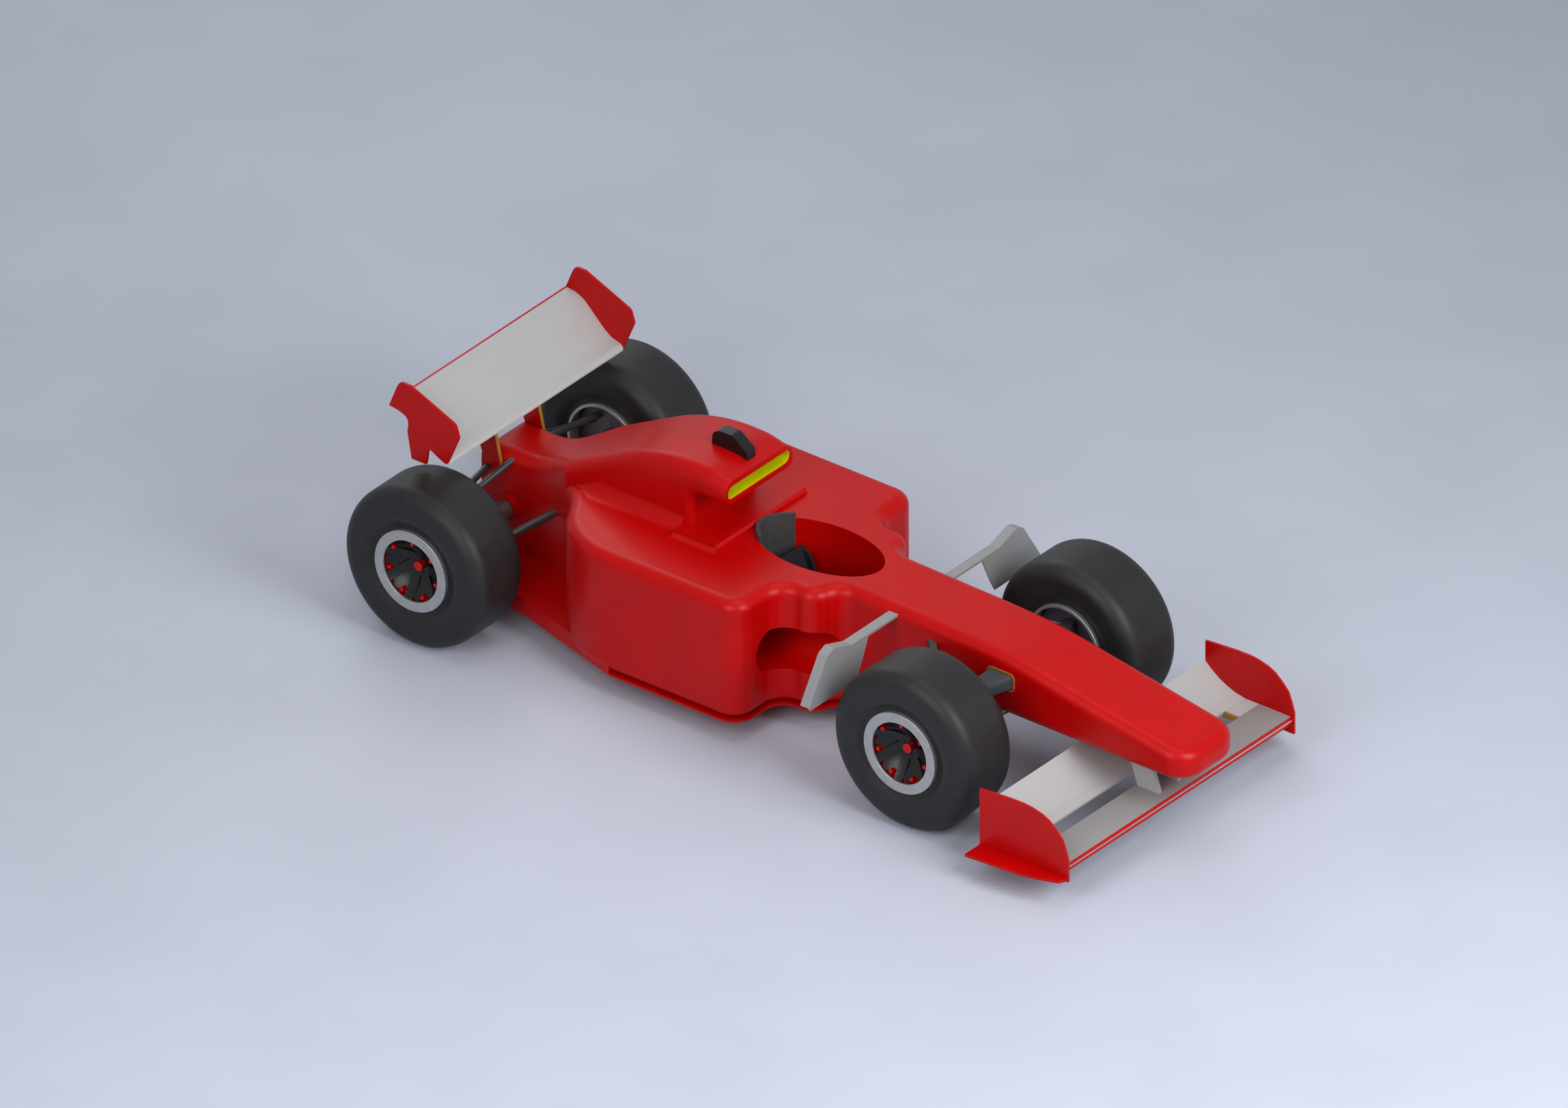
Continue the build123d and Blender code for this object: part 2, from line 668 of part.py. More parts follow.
# Wheels: the tyre, the rim and the dished centre turn together on each upright
for corner, side, station, half_track in CORNERS:
    section = wheel_section(side, station, half_track)
    turn = axle(side, station, half_track)
    front = corner.startswith("front")
    face_on = across(side * half_track, station, TYRE_R, side)

    with BuildPart() as tyre:
        with BuildSketch(section):
            with BuildLine():
                rounded_outline(TYRE_OUTLINE)
            make_face()
        revolve(axis=turn)
    label_and_write(tyre, f"tyre_{corner}")

    with BuildPart() as rim:
        with BuildSketch(section):
            with BuildLine():
                rounded_outline(RIM_OUTLINE)
            make_face()
        revolve(axis=turn)
    label_and_write(rim, f"rim_{corner}")

    with BuildPart() as lobes:
        with BuildSketch(section):
            with BuildLine():
                dish_outline(0, RIM_WINDOW_R)
            make_face()
        revolve(axis=turn)
        with BuildSketch(face_on):
            with PolarLocations(LOBE_REACH - LOBE_R, SPOKES, start_angle=180 / SPOKES):
                Circle(LOBE_R)
            with PolarLocations((LOBE_REACH - LOBE_R) / 2, SPOKES, start_angle=180 / SPOKES):
                Rectangle(LOBE_REACH - LOBE_R, 2 * LOBE_R)
        extrude(amount=HALF_RIM, mode=Mode.INTERSECT)

    with BuildPart() as spokes:
        with BuildSketch(section):
            with BuildLine():
                dish_outline(SPOKE_RISE, SPOKE_SEAT_R)
            make_face()
        revolve(axis=turn)
        with BuildSketch(face_on):
            with PolarLocations((SPOKE_SEAT_R + DISH_FOOT_R) / 2, SPOKES):
                Rectangle(SPOKE_SEAT_R, SPOKE_WIDTH, rotation=SPOKE_TWIST)
        extrude(amount=HALF_RIM, mode=Mode.INTERSECT)

    with BuildPart() as wheel_centre:
        with BuildSketch(face_on.offset(HUB_BACK)):
            Circle(HUB_R)
        extrude(amount=HUB_FACE - HUB_BACK)
        add(lobes.part)
        add(spokes.part)
        with BuildSketch(face_on.offset(HUB_FACE)):
            Circle(NUT_R)
        extrude(amount=NUT_FACE - HUB_FACE)
        if front:
            with BuildSketch(face_on.offset(HUB_BACK)):
                Circle(STUB_R + FIT)
            extrude(amount=STUB_HOLE_END - HUB_BACK, mode=Mode.SUBTRACT)
    label_and_write(wheel_centre, f"wheel_centre_{corner}")

    with BuildPart() as upright:
        with BuildSketch(face_on.offset(SHIELD_OFFSET - SHIELD_THICKNESS)):
            Circle(SHIELD_R)
        extrude(amount=SHIELD_THICKNESS)
        if front:
            with BuildSketch(face_on.offset(SHIELD_OFFSET)):
                Circle(STUB_R)
            extrude(amount=STUB_END - SHIELD_OFFSET)
            kingpin_x = side * (half_track + KINGPIN_OFFSET)
            with BuildSketch(PLAN.offset(TYRE_R - KINGPIN_HALF)):
                with Locations((station, kingpin_x)):
                    Circle(KINGPIN_R)
            extrude(amount=2 * KINGPIN_HALF)
            yoke_half = KINGPIN_HALF - EYE_HEIGHT - YOKE_GAP
            with BuildSketch(PLAN.offset(TYRE_R - yoke_half)):
                with Locations((station, kingpin_x - side * YOKE_WIDTH / 2)):
                    Rectangle(
                        YOKE_WIDTH,
                        SHIELD_OFFSET - KINGPIN_OFFSET + YOKE_WIDTH / 2 - SHIELD_THICKNESS / 2,
                        align=(Align.CENTER, Align.MIN if side > 0 else Align.MAX),
                    )
            extrude(amount=2 * yoke_half)
        else:
            with BuildSketch(face_on.offset(SHIELD_OFFSET)):
                Circle(SHAFT_R + FIT + BEARING_WALL)
            extrude(amount=BEARING_DEPTH)
            with BuildSketch(face_on.offset(SHIELD_OFFSET - SHIELD_THICKNESS)):
                Circle(SHAFT_R + FIT)
            extrude(amount=SHIELD_THICKNESS + BEARING_DEPTH, mode=Mode.SUBTRACT)
    label_and_write(upright, f"upright_{corner}")

# Suspension as tapered bars from the body to the uprights. Every bar runs between two upright
# planes. Columns: x, distance ahead of the axle, z, width along the car, height, edge radius
KINGPIN_X = FRONT_HALF_TRACK + KINGPIN_OFFSET
EYE_R = KINGPIN_R + FIT + EYE_WALL
UPPER_EYE_Z = TYRE_R + KINGPIN_HALF - EYE_HEIGHT / 2
LOWER_EYE_Z = TYRE_R - KINGPIN_HALF + EYE_HEIGHT / 2
EYE_JOIN_X = KINGPIN_X - KINGPIN_R - FIT - EYE_WALL / 2
ROD_ROOT_X = NOSE_HALF_WIDTH - ROD_INSET
LINK_ROOT_X = TAIL_HALF_WIDTH - LINK_INSET
FRONT_BARS = (
    ((NOSE_HALF_WIDTH, 134, 561, 138, 78, 22), (EYE_JOIN_X, 0, UPPER_EYE_Z, 44, 28, 9)),
    ((NOSE_HALF_WIDTH, -250, 600, 58, 34, 15), (EYE_JOIN_X, 0, UPPER_EYE_Z, 30, 24, 9)),
    ((ROD_ROOT_X, 160, 405, 29, 29, 14), (EYE_JOIN_X, 0, LOWER_EYE_Z, 28, 28, 13)),
    ((ROD_ROOT_X, -160, 405, 29, 29, 14), (EYE_JOIN_X, 0, LOWER_EYE_Z, 28, 28, 13)),
)
SHIELD_BACK_X = REAR_HALF_TRACK + SHIELD_OFFSET - SHIELD_THICKNESS
REAR_BARS = (
    ((LINK_ROOT_X, 10, 628, 30, 30, 14), (SHIELD_BACK_X, -71, 490, 30, 30, 14)),
    ((TAIL_HALF_WIDTH, 297, 489, 36, 36, 17), (SHIELD_BACK_X, 118, 384, 36, 36, 17)),
    ((LINK_ROOT_X, -120, 564, 30, 30, 14), (SHIELD_BACK_X, -110, 450, 30, 30, 14)),
)
for side_name, side in SIDES.items():
    with BuildPart() as arms:
        for bar in FRONT_BARS:
            for x, lead, z, width, height, edge_r in bar:
                with BuildSketch(across(side * x, WHEELBASE + lead, z, side)):
                    RectangleRounded(width, height, edge_r)
            loft()
        for eye_z in (UPPER_EYE_Z, LOWER_EYE_Z):
            with BuildSketch(PLAN.offset(eye_z - EYE_HEIGHT / 2)):
                with Locations((WHEELBASE, side * KINGPIN_X)):
                    Circle(EYE_R)
            extrude(amount=EYE_HEIGHT)
        with BuildSketch(PLAN):
            with Locations((WHEELBASE, side * KINGPIN_X)):
                Circle(KINGPIN_R + FIT)
        extrude(amount=2 * TYRE_R, mode=Mode.SUBTRACT)
        add(tub.part, mode=Mode.SUBTRACT)
        add(nose_cone.part, mode=Mode.SUBTRACT)
    label_and_write(arms, f"front_arms_{side_name}")

    with BuildPart() as links:
        for bar in REAR_BARS:
            for x, lead, z, width, height, edge_r in bar:
                with BuildSketch(across(side * x, lead, z, side)):
                    RectangleRounded(width, height, edge_r)
            loft()
        add(rear_body.part, mode=Mode.SUBTRACT)
    label_and_write(links, f"rear_links_{side_name}")

    # The shaft runs in the gearbox boss and carries the rear wheel's hub
    with BuildPart() as drive_shaft:
        with BuildSketch(across(side * (TAIL_HALF_WIDTH + SHAFT_GAP), 0, TYRE_R, side)):
            Circle(SHAFT_R)
        extrude(amount=REAR_HALF_TRACK + HUB_BACK - TAIL_HALF_WIDTH - SHAFT_GAP)
    label_and_write(drive_shaft, f"drive_shaft_{side_name}")


def band(path, thickness, bend_r):
    # Turns a path into the outline of a strip of even thickness on the path's right side
    lower = []
    for n, (a, b) in enumerate(path):
        before = path[max(n - 1, 0)]
        after = path[min(n + 1, len(path) - 1)]
        run = after[0] - before[0]
        rise = after[1] - before[1]
        length = (run * run + rise * rise) ** 0.5
        lower.append((a + thickness * rise / length, b - thickness * run / length))
    bends = [0] + [bend_r] * (len(path) - 2) + [0]
    top = [(a, b, r) for (a, b), r in zip(path, bends)]
    bottom = [(a, b, r) for (a, b), r in zip(lower, bends)]
    return top + bottom[::-1]


# Turning vanes on the tub's flanks: a bent strip with a panel below it. Columns: x, z
VANE_PATH = ((150, 675), (522, 675), (651, 717), (699, 696), (738, 633), (786, 558), (828, 489))
VANE_INNER = ((495, 475), (459, 543), (408, 657), (408, 669))
for side_name, side in SIDES.items():
    path = [(side * x, z) for x, z in VANE_PATH]
    with BuildPart() as vane:
        strip = band(path, side * VANE_THICKNESS, VANE_BEND_R)
        with BuildSketch(cross_section(VANE_FRONT)):
            with BuildLine():
                rounded_outline(strip)
            make_face()
        extrude(amount=-VANE_CHORD)
        outer = [(a, b) for a, b in path[1:]]
        inner = [(side * x, z) for x, z in VANE_INNER]
        with BuildSketch(cross_section(VANE_FRONT)):
            with BuildLine():
                Polyline(*(outer + [(side * VANE_TIP_X, VANE_BOTTOM_Z)] + inner), close=True)
            make_face()
        extrude(amount=-VANE_PANEL)
        add(tub.part, mode=Mode.SUBTRACT)
    label_and_write(vane, f"vane_{side_name}")

# Front wing: main plane with a slot, flap behind it and two pillars under the nose
# Columns: distance behind the slot, z
FLAP_PATH = ((-FLAP_THICKNESS, 205), (42, 216), (81, 231), (129, 255), (174, 288), (210, 321))
# Columns: distance behind the wing's front edge, z
PILLAR_SIDE = ((168, PILLAR_FOOT_Z), (48, PILLAR_FOOT_Z), (124, PILLAR_HEAD_Z), (244, PILLAR_HEAD_Z))
FRONT_WING_BOTTOM = FRONT_WING_Z - FRONT_WING_THICKNESS


def behind_wing_front(rows):
    return [(FRONT_WING_FRONT - a, b) for a, b in rows]


with BuildPart() as front_wing:
    with BuildSketch(SIDE_VIEW):
        with BuildLine():
            rounded_outline(
                (
                    (FRONT_SLOT_REAR, FRONT_WING_BOTTOM, 6),
                    (FRONT_SLOT_REAR, FRONT_WING_Z, 0),
                    (FRONT_WING_FRONT, FRONT_WING_Z, FRONT_WING_EDGE_R),
                    (FRONT_WING_FRONT, FRONT_WING_BOTTOM, FRONT_WING_EDGE_R),
                )
            )
        make_face()
    extrude(amount=FRONT_HALF_SPAN, both=True)
    with BuildSketch(PLAN.offset(FRONT_WING_BOTTOM)):
        with Locations(((FRONT_SLOT_REAR + FRONT_SLOT_FRONT) / 2, 0)):
            Rectangle(FRONT_SLOT_FRONT - FRONT_SLOT_REAR, 2 * FRONT_SLOT_HALF_WIDTH)
    extrude(amount=FRONT_WING_THICKNESS, mode=Mode.SUBTRACT)
    with BuildSketch(SIDE_VIEW):
        with BuildLine():
            flap_path = [(FRONT_SLOT_REAR - a, z) for a, z in FLAP_PATH]
            rounded_outline(band(flap_path, -FLAP_THICKNESS, FLAP_BEND_R))
        make_face()
    extrude(amount=FRONT_HALF_SPAN, both=True)
    for side in SIDES.values():
        with BuildSketch(SIDE_VIEW.offset(-side * PILLAR_X - PILLAR_WIDTH / 2)):
            with BuildLine():
                Polyline(*behind_wing_front(PILLAR_SIDE), close=True)
            make_face()
        extrude(amount=PILLAR_WIDTH)
    add(nose_cone.part, mode=Mode.SUBTRACT)
label_and_write(front_wing, "front_wing")

# Columns: distance behind the wing's front edge, z
FRONT_PLATE_REAR = 482
FRONT_PLATE = (
    (FRONT_PLATE_REAR, FOOT_Z),
    (FRONT_PLATE_REAR, 418),
    (309, 430),
    (240, 431),
    (192, 426),
    (135, 412),
    (96, 393),
    (51, 354),
    (21, 321),
    (3, 273),
    (-12, 225),
    (-12, FOOT_Z),
)
# Columns: distance behind the wing's front edge, how far the foot reaches outside the plate
FRONT_FOOT = ((FRONT_PLATE_REAR, 117), (186, 96), (111, 78), (15, 45), (-6, 0), (FRONT_PLATE_REAR, 0))
for side_name, side in SIDES.items():
    with BuildPart() as endplate:
        with BuildSketch(SIDE_VIEW.offset(-side * FRONT_HALF_SPAN)):
            with BuildLine():
                Polyline(*behind_wing_front(FRONT_PLATE), close=True)
            make_face()
        extrude(amount=-side * ENDPLATE)
        with BuildSketch(PLAN.offset(FOOT_Z)):
            with BuildLine():
                foot = [(a, side * (FRONT_HALF_SPAN + x)) for a, x in FRONT_FOOT]
                Polyline(*behind_wing_front(foot), close=True)
            make_face()
        extrude(amount=FOOT_HEIGHT)
    label_and_write(endplate, f"front_endplate_{side_name}")

# Rear wing. Columns: station, z
REAR_WING_PATH = (
    (36, 855),
    (21, 870),
    (-12, 879),
    (-36, 888),
    (-69, 912),
    (-93, 934),
    (-120, 960),
    (-150, 991),
    (-183, 1020),
    (-213, 1036),
    (-237, 1045),
    (-285, 1050),
)
with BuildPart() as rear_wing:
    with BuildSketch(SIDE_VIEW):
        with BuildLine():
            rounded_outline(band(REAR_WING_PATH, -REAR_WING_THICKNESS, 0))
        make_face()
    extrude(amount=REAR_HALF_SPAN, both=True)
label_and_write(rear_wing, "rear_wing")

# Columns: station, z, corner radius
REAR_PLATE = (
    (-294, 1029, 0),
    (-252, 1134, 0),
    (-234, 1170, 30),
    (-180, 1170, 0),
    (76, 1062, 28),
    (96, 1000, 0),
    (28, 838, 12),
    (-21, 860, 0),
    (-74, 889, 12),
    (-86, PLATE_LEG_Z, 4),
    (-168, PLATE_LEG_Z, 4),
    (-192, 930, 40),
    (-183, 1000, 40),
    (-240, 1020, 0),
)
# Columns: station, z
STRUT_SIDE = ((-36, 575), (-124, 575), (-219, 840), (-228, 1032), (-183, 1013), (-120, 953))
for side_name, side in SIDES.items():
    with BuildPart() as endplate:
        with BuildSketch(SIDE_VIEW.offset(-side * REAR_HALF_SPAN)):
            with BuildLine():
                rounded_outline(REAR_PLATE)
            make_face()
        extrude(amount=-side * ENDPLATE)
    label_and_write(endplate, f"rear_endplate_{side_name}")

with BuildPart() as rear_wing_struts:
    for side in SIDES.values():
        with BuildSketch(SIDE_VIEW.offset(-side * TAIL_HALF_WIDTH)):
            with BuildLine():
                Polyline(*STRUT_SIDE, close=True)
            make_face()
        extrude(amount=-side * STRUT_WIDTH)
    add(rear_wing.part, mode=Mode.SUBTRACT)
label_and_write(rear_wing_struts, "rear_wing_struts")
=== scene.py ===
from math import cos, pi, radians, sin

import bpy
from mathutils import Matrix, Vector


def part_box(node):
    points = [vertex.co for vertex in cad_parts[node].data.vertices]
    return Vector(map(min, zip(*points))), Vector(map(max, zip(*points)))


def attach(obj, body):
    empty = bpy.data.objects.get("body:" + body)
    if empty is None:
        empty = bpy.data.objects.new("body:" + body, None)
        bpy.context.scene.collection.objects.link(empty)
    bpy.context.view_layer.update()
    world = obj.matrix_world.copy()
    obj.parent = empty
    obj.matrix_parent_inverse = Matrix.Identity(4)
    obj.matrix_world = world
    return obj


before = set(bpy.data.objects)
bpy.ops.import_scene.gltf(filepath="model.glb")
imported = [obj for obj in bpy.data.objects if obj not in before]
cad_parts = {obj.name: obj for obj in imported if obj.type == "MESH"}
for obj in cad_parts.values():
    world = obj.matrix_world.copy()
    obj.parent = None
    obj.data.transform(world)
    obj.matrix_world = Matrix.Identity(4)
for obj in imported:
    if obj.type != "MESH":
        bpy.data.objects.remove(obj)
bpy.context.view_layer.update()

bl_info = {
    "name": "Open Wheel Racing Car",
    "version": (1, 0, 0),
    "blender": (4, 5, 0),
    "location": "View3D > Sidebar > Race Car",
    "description": "Dresses the packed racing car with its trim, paint, rubber and studio",
    "category": "Object",
}

MM = 0.001
TYRE_LOW, TYRE_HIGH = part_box("tyre_rear_left")
REAR_AXLE_Y = (TYRE_LOW.y + TYRE_HIGH.y) / 2
AXLE_Z = (TYRE_LOW.z + TYRE_HIGH.z) / 2
# Columns: corner, side, station of the axle, half track in mm
WHEELS = (
    ("front_left", 1, 2650.0, 585.0),
    ("front_right", -1, 2650.0, 585.0),
    ("rear_left", 1, 0.0, 686.0),
    ("rear_right", -1, 0.0, 686.0),
)
SIDES = (("left", 1), ("right", -1))
SPOKES = 7

# Wheel trim in metres. Offsets run outwards along the axle from the wheel's middle.
PIN_OFFSET = 0.134
PIN_LENGTH = 0.05
NUT_OFFSET = 0.0995
NUT_LENGTH = 0.030
NUT_WALL = 0.006
NUT_DISH = 0.0015
LINER_WALL = 0.002
# Columns: offset, radius of the liner there
LINER_RINGS = ((0.139, 0.189), (0.138, 0.148), (0.096, 0.112))

# Gold trim in metres
FRAME_SIZE = (0.094, 0.154)
FRAME_CORNER = 0.028
FRAME_WALL = 0.005

# Fillets in metres: how far they sink into the deck, and the slack of their selections
FILLET_SINK = 0.001
FILLET_SLACK = 0.0001

# The photo's view: angles in degrees, width and distance in metres, aim in mm as for place()
VIEW_AZIMUTH = -51.93
VIEW_ELEVATION = 30.97
VIEW_WIDTH = 6.888
VIEW_DISTANCE = 12
VIEW_AIM = (1416.6, 0, 600.3)
LAMP_AIM = (0, 0, 0.5)
FLOOR_SIZE = 60
# Strength of the world as a light, and as the camera and reflections see it
WORLD_LIGHT = 0.34
WORLD_SEEN = 0.6


def place(station, x, z):
    """A point of the car from its distance ahead of the rear axle, its x and its height in mm."""
    return Vector((x * MM, REAR_AXLE_Y - station * MM, z * MM))


def linear(code):
    """Turns an sRGB hex value into the linear colour that a shader needs."""
    parts = [int(code[n : n + 2], 16) / 255 for n in (0, 2, 4)]
    return [c / 12.92 if c <= 0.04045 else ((c + 0.055) / 1.055) ** 2.4 for c in parts] + [1.0]


def add_node(tree, kind, settings=None, links=None):
    """Adds one node, sets its values or sockets and joins its inputs."""
    node = tree.nodes.new(kind)
    for name, value in (settings or {}).items():
        if isinstance(name, str) and hasattr(node, name):
            setattr(node, name, value)
        else:
            node.inputs[name].default_value = value
    for name, source in (links or {}).items():
        tree.links.new(source, node.inputs[name])
    return node


def start_finish(name, roughness, metallic=0.0, coat=0.0, coat_roughness=0.1, specular=0.5):
    """Starts a finish with its constant values on the shader and returns its tree and shader."""
    finish = bpy.data.materials.new(name)
    finish.use_nodes = True
    tree = finish.node_tree
    shader = tree.nodes["Principled BSDF"]
    shader.inputs["Roughness"].default_value = roughness
    shader.inputs["Metallic"].default_value = metallic
    shader.inputs["Coat Weight"].default_value = coat
    shader.inputs["Coat Roughness"].default_value = coat_roughness
    shader.inputs["Specular IOR Level"].default_value = specular
    where = add_node(tree, "ShaderNodeTexCoord").outputs["Object"]
    return finish, tree, shader, where


def speckle(tree, shader, where, low, high, size_mm, detail=2.0):
    """Lets the colour drift between two shades in patches of a real size."""
    noise = add_node(
        tree,
        "ShaderNodeTexNoise",
        {"Scale": 1 / (size_mm * MM), "Detail": detail},
        {"Vector": where},
    )
    ramp = add_node(tree, "ShaderNodeValToRGB", links={"Fac": noise.outputs["Fac"]})
    ramp.color_ramp.elements[0].position = 0.35
    ramp.color_ramp.elements[0].color = linear(low)
    ramp.color_ramp.elements[1].position = 0.65
    ramp.color_ramp.elements[1].color = linear(high)
    tree.links.new(ramp.outputs["Color"], shader.inputs["Base Color"])


def texture_relief(tree, shader, height, depth_mm, strength=1.0):
    """Raises the surface by a height pattern of a real depth."""
    bump = add_node(
        tree,
        "ShaderNodeBump",
        {"Distance": depth_mm * MM, "Strength": strength},
        {"Height": height},
    )
    tree.links.new(bump.outputs["Normal"], shader.inputs["Normal"])


def grain(tree, shader, where, grain_mm, depth_mm, strength=1.0):
    """Raises the surface in an irregular grain of a real size and depth."""
    noise = add_node(tree, "ShaderNodeTexNoise", {"Scale": 1 / (grain_mm * MM)}, {"Vector": where})
    texture_relief(tree, shader, noise.outputs["Fac"], depth_mm, strength)


def weave(tree, shader, where, low, high, thread_mm):
    """Colours the surface in two shades that cross over at the width of a thread."""
    threads = add_node(
        tree,
        "ShaderNodeTexChecker",
        {"Scale": 1 / (thread_mm * MM), "Color1": linear(low), "Color2": linear(high)},
        {"Vector": where},
    )
    tree.links.new(threads.outputs["Color"], shader.inputs["Base Color"])
    return threads.outputs["Fac"]


def gloss_paint(name, low, high):
    # Stoved gloss paint sprayed on moulded composite: even colour under a clear coat whose faint
    # orange peel of about 3 mm breaks up the edges of its reflections.
    finish, tree, shader, where = start_finish(
        name, 0.4, coat=0.1, coat_roughness=0.18, specular=0.16
    )
    speckle(tree, shader, where, low, high, 160)
    grain(tree, shader, where, 3, 0.02, 0.5)
    return finish


def satin_paint(name, low, high):
    # Satin grey lacquer on wing sections: soft even sheen, with flake drawn at 4 mm because the
    # real 0.1 mm flake is too fine to show.
    finish, tree, shader, where = start_finish(name, 0.45, specular=0.4)
    speckle(tree, shader, where, low, high, 4)
    return finish


def moulded_rubber(name):
    # Cured tyre rubber: near black and dull, with a fine pebble from the mould and a faint grey
    # bloom in broad patches.
    finish, tree, shader, where = start_finish(name, 0.48, specular=0.34)
    speckle(tree, shader, where, "1E1E1F", "232324", 90, 4)
    grain(tree, shader, where, 2.5, 0.08, 0.4)
    return finish


def turned_aluminium(name, low, high):
    # Turned aluminium: pale grey with fine cutting marks a few millimetres apart that spread its
    # highlights.
    finish, tree, shader, where = start_finish(name, 0.38, metallic=0.75)
    speckle(tree, shader, where, low, high, 30)
    grain(tree, shader, where, 1.5, 0.02, 0.4)
    return finish


def cast_magnesium(name):
    # Black coated cast magnesium: almost black, with a slight cast grain under a semi-gloss coat.
    finish, tree, shader, where = start_finish(name, 0.32, specular=0.4)
    speckle(tree, shader, where, "0B0B0B", "111112", 25)
    grain(tree, shader, where, 2, 0.05, 0.4)
    return finish


def anodised(name, low, high):
    # Dyed anodised aluminium: strong clear colour with a metal's bright edge highlights.
    finish, tree, shader, where = start_finish(name, 0.3, metallic=0.45)
    speckle(tree, shader, where, low, high, 12)
    return finish


def carbon_composite(name, low, high):
    # Lacquered carbon tube: dark grey twill whose 2 mm tows are drawn at 5 mm so that they show.
    finish, tree, shader, where = start_finish(name, 0.38, coat=0.2, specular=0.4)
    weave(tree, shader, where, low, high, 5)
    return finish


def ground_steel(name, low, high):
    # Ground steel: blue grey with a fine grind that blurs what it reflects.
    finish, tree, shader, where = start_finish(name, 0.45, metallic=0.6)
    speckle(tree, shader, where, low, high, 20)
    grain(tree, shader, where, 1.2, 0.02, 0.4)
    return finish


def cast_iron(name):
    # Sand cast iron: dull dark grey with a coarse grain of about 3 mm.
    finish, tree, shader, where = start_finish(name, 0.7, metallic=0.4)
    speckle(tree, shader, where, "38393B", "464749", 18)
    grain(tree, shader, where, 3, 0.4)
    return finish


def woven_cloth(name, low, high):
    # Woven seat cloth: matt, with 1 mm yarns drawn at 4 mm so that the weave shows.
    finish, tree, shader, where = start_finish(name, 0.85, specular=0.2)
    texture_relief(tree, shader, weave(tree, shader, where, low, high, 4), 0.2, 0.5)
    return finish


def moulded_foam(name, low, high):
    # Skinned polyurethane foam: even matt grey with a soft leather grain of about 4 mm.
    finish, tree, shader, where = start_finish(name, 0.62, specular=0.35)
    speckle(tree, shader, where, low, high, 40)
    leather = add_node(tree, "ShaderNodeTexVoronoi", {"Scale": 1 / (4 * MM)}, {"Vector": where})
    texture_relief(tree, shader, leather.outputs["Distance"], 0.15, 0.5)
    return finish


def new_piece(name):
    """Takes the object that an operator has just added and names it."""
    piece = bpy.context.object
    piece.name = name
    piece.data.name = name
    return piece


def deselect_everything():
    if bpy.context.object and bpy.context.object.mode != "OBJECT":
        bpy.ops.object.mode_set(mode="OBJECT")
    bpy.ops.object.select_all(action="DESELECT")


def make_active(piece):
    deselect_everything()
    piece.select_set(True)
    bpy.context.view_layer.objects.active = piece


def pick(piece, parts, wanted):
    """Selects the vertices or polygons for which a test holds, and stays in edit mode."""
    make_active(piece)
    bpy.ops.object.mode_set(mode="EDIT")
    bpy.ops.mesh.select_mode(type="FACE" if parts == "polygons" else "VERT")
    bpy.ops.mesh.select_all(action="DESELECT")
    bpy.ops.object.mode_set(mode="OBJECT")
    for part in getattr(piece.data, parts):
        part.select = wanted(part)
    bpy.ops.object.mode_set(mode="EDIT")


def soften(piece, width_mm, segments=3, angle=40):
    """Rounds the piece's hard edges with a bevel that is applied at once."""
    make_active(piece)
    bevel = piece.modifiers.new("edge", "BEVEL")
    bevel.width = width_mm * MM
    bevel.segments = segments
    bevel.limit_method = "ANGLE"
    bevel.angle_limit = radians(angle)
    bpy.ops.object.modifier_apply(modifier=bevel.name)


def thicken(piece, thickness, offset):
    """Gives a sheet a wall, to one side of it or to both."""
    make_active(piece)
    wall = piece.modifiers.new("wall", "SOLIDIFY")
    wall.thickness = thickness
    wall.offset = offset
    bpy.ops.object.modifier_apply(modifier=wall.name)


def settle(piece, finish, body, smooth=35):
    """Moves the piece's place into its mesh, paints it and lets it ride on its body."""
    make_active(piece)
    bpy.ops.object.transform_apply(location=True, rotation=True, scale=True)
    bpy.ops.object.mode_set(mode="EDIT")
    bpy.ops.mesh.select_all(action="SELECT")
    bpy.ops.mesh.normals_make_consistent(inside=False)
    bpy.ops.object.mode_set(mode="OBJECT")
    bpy.ops.object.shade_smooth_by_angle(angle=radians(smooth))
    piece.data.materials.clear()
    piece.data.materials.append(finish)
    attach(piece, body)


def copy_piece(piece, matrix):
    """Makes a copy with its own mesh and moves it by a matrix."""
    twin = piece.copy()
    twin.data = piece.data.copy()
    bpy.context.scene.collection.objects.link(twin)
    twin.matrix_world = matrix @ piece.matrix_world
    return twin


def join_pieces(pieces, name):
    deselect_everything()
    for piece in pieces:
        piece.select_set(True)
    bpy.context.view_layer.objects.active = pieces[0]
    bpy.ops.object.join()
    return new_piece(name)


def axle_turn(centre, angle):
    """A turn about an axle through the wheel's centre."""
    return Matrix.Translation(centre) @ Matrix.Rotation(angle, 4, "X") @ Matrix.Translation(-centre)


def bar(name, start, end, width, thickness, edge):
    """A straight rounded bar of square section between two points, its width along x."""
    run = end - start
    bpy.ops.mesh.primitive_cube_add(size=1, location=(start + end) / 2)
    piece = new_piece(name)
    piece.rotation_mode = "QUATERNION"
    piece.rotation_quaternion = run.to_track_quat("Z", "Y")
    piece.scale = (width * MM, thickness * MM, run.length)
    bpy.ops.object.transform_apply(location=True, rotation=True, scale=True)
    soften(piece, edge)
    return piece


